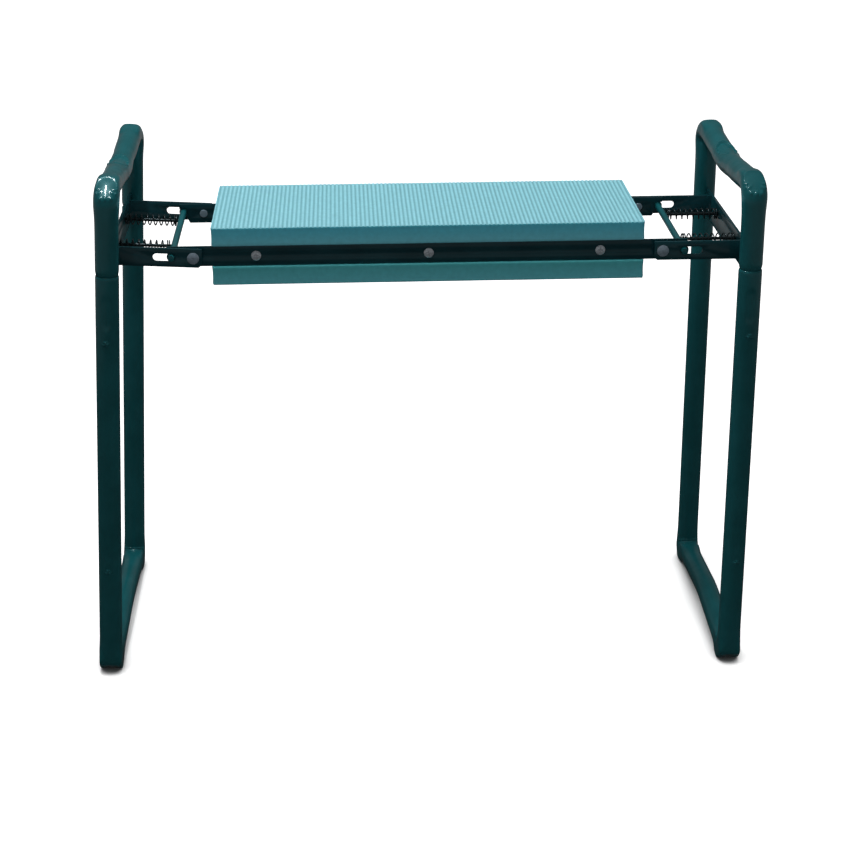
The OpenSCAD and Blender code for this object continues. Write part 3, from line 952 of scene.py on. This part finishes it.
# white to the camera but for the shade where something stands on it, and dark in the gloss near by
def makeFloor():
    dropSelection()
    (x0, z0), (x1, z1) = studio["leftFoot"], studio["rightFoot"]
    bpy.ops.mesh.primitive_plane_add(size=studio["floorSize"])
    floor = bpy.context.object
    floor.name = "paleFloor"
    slope = math.atan2(z1 - z0, x1 - x0)
    floor.data.transform(Matrix.Rotation(-slope, 4, "Y"))
    floor.data.transform(Matrix.Translation(((x0 + x1) / 2, 0,
                                             (z0 + z1) / 2 - studio["floorBelow"])))
    material, tree, shader = newMaterial("paleFloorPaint")
    shader.inputs["Base Color"].default_value = (*grey(studio["bounceTone"]), 1)
    shader.inputs["Roughness"].default_value = 1.0
    shader.inputs["Specular IOR Level"].default_value = 0.0
    place = tree.nodes.new("ShaderNodeTexCoord")
    split = tree.nodes.new("ShaderNodeSeparateXYZ")
    tree.links.new(place.outputs["Object"], split.inputs["Vector"])
    east, north = split.outputs["X"], split.outputs["Y"]
    away = maths(tree, "SQRT", maths(tree, "ADD", maths(tree, "MULTIPLY", east, east),
                                     maths(tree, "MULTIPLY", north, north)))
    contact = tree.nodes.new("ShaderNodeAmbientOcclusion")
    contact.inputs["Distance"].default_value = studio["contactReach"]
    shown = maths(tree, "MULTIPLY",
                  stepBetween(tree, contact.outputs["AO"], *studio["contactStep"]),
                  stepBetween(tree, away, *studio["glowStep"]))
    seenFloor = tree.nodes.new("ShaderNodeBsdfDiffuse")
    seenFloor.inputs["Color"].default_value = (*grey(studio["floorTone"]), 1)
    glow = tree.nodes.new("ShaderNodeEmission")
    tree.links.new(shown, glow.inputs["Strength"])
    both = tree.nodes.new("ShaderNodeAddShader")
    tree.links.new(seenFloor.outputs["BSDF"], both.inputs[0])
    tree.links.new(glow.outputs["Emission"], both.inputs[1])
    mirrored = tree.nodes.new("ShaderNodeEmission")
    tree.links.new(stepBetween(tree, away, *studio["floorShineStep"]),
                   mirrored.inputs["Strength"])
    showApart(tree, shader.outputs["BSDF"], mirrored.outputs["Emission"],
              both.outputs["Shader"], tree.nodes["Material Output"])
    floor.data.materials.append(material)


def makeLamp(name, look):
    data = bpy.data.lights.new(name, "AREA")
    data.shape = "RECTANGLE"
    data.size, data.size_y = look["size"]
    data.energy = look["power"]
    lamp = bpy.data.objects.new(name, data)
    bpy.context.scene.collection.objects.link(lamp)
    lamp.location = look["at"]
    aim = Vector(look["aim"]) - Vector(look["at"])
    lamp.rotation_euler = aim.to_track_quat("-Z", "Y").to_euler()
    lamp.visible_glossy = look["glints"]


# white to the camera; its light comes more from behind, and its gloss more from the horizon
def makeWorld():
    world = bpy.data.worlds.new("paleRoom")
    bpy.context.scene.world = world
    world.use_nodes = True
    tree = world.node_tree
    place = tree.nodes.new("ShaderNodeTexCoord")
    split = tree.nodes.new("ShaderNodeSeparateXYZ")
    tree.links.new(place.outputs["Generated"], split.inputs["Vector"])
    room = tree.nodes["Background"]
    tree.links.new(stepBetween(tree, split.outputs["Y"], *studio["roomStep"]),
                   room.inputs["Strength"])
    mirrored = tree.nodes.new("ShaderNodeBackground")
    tree.links.new(stepBetween(tree, split.outputs["Z"], *studio["roomShineStep"]),
                   mirrored.inputs["Strength"])
    white = tree.nodes.new("ShaderNodeBackground")
    white.inputs["Strength"].default_value = 1.0
    for paper in (room, mirrored, white):
        paper.inputs["Color"].default_value = (1, 1, 1, 1)
    showApart(tree, room.outputs["Background"], mirrored.outputs["Background"],
              white.outputs["Background"], tree.nodes["World Output"])


makeFloor()
makeWorld()
makeLamp("keyLamp", studio["key"])
makeLamp("softLamp", studio["soft"])
print("studio set")


# the photograph's camera

lens = {
    "focalPixels": 1949.389,
    "framePixels": 843,
    "sensor": 36.0,
    "at": (-0.064870, -1.763072, 0.891879),
    "yaw": 0.04002,
    "pitch": 0.37118,
    "roll": -0.00514,
}


def makeCamera():
    yaw, pitch, roll = lens["yaw"], lens["pitch"], lens["roll"]
    forward = Vector((math.sin(yaw) * math.cos(pitch), math.cos(yaw) * math.cos(pitch),
                      -math.sin(pitch)))
    right = Vector((math.cos(yaw), -math.sin(yaw), 0))
    up = right.cross(forward)
    rolledRight = math.cos(roll) * right + math.sin(roll) * up
    rolledUp = -math.sin(roll) * right + math.cos(roll) * up
    turn = Matrix((rolledRight, rolledUp, -forward)).transposed()
    data = bpy.data.cameras.new("photoCamera")
    data.sensor_width = lens["sensor"]
    data.lens = lens["focalPixels"] / lens["framePixels"] * lens["sensor"]
    camera = bpy.data.objects.new("photoCamera", data)
    bpy.context.scene.collection.objects.link(camera)
    camera.matrix_world = Matrix.Translation(lens["at"]) @ turn.to_4x4()
    bpy.context.scene.camera = camera


makeCamera()
bpy.context.scene.view_settings.view_transform = "Standard"
print("camera placed")
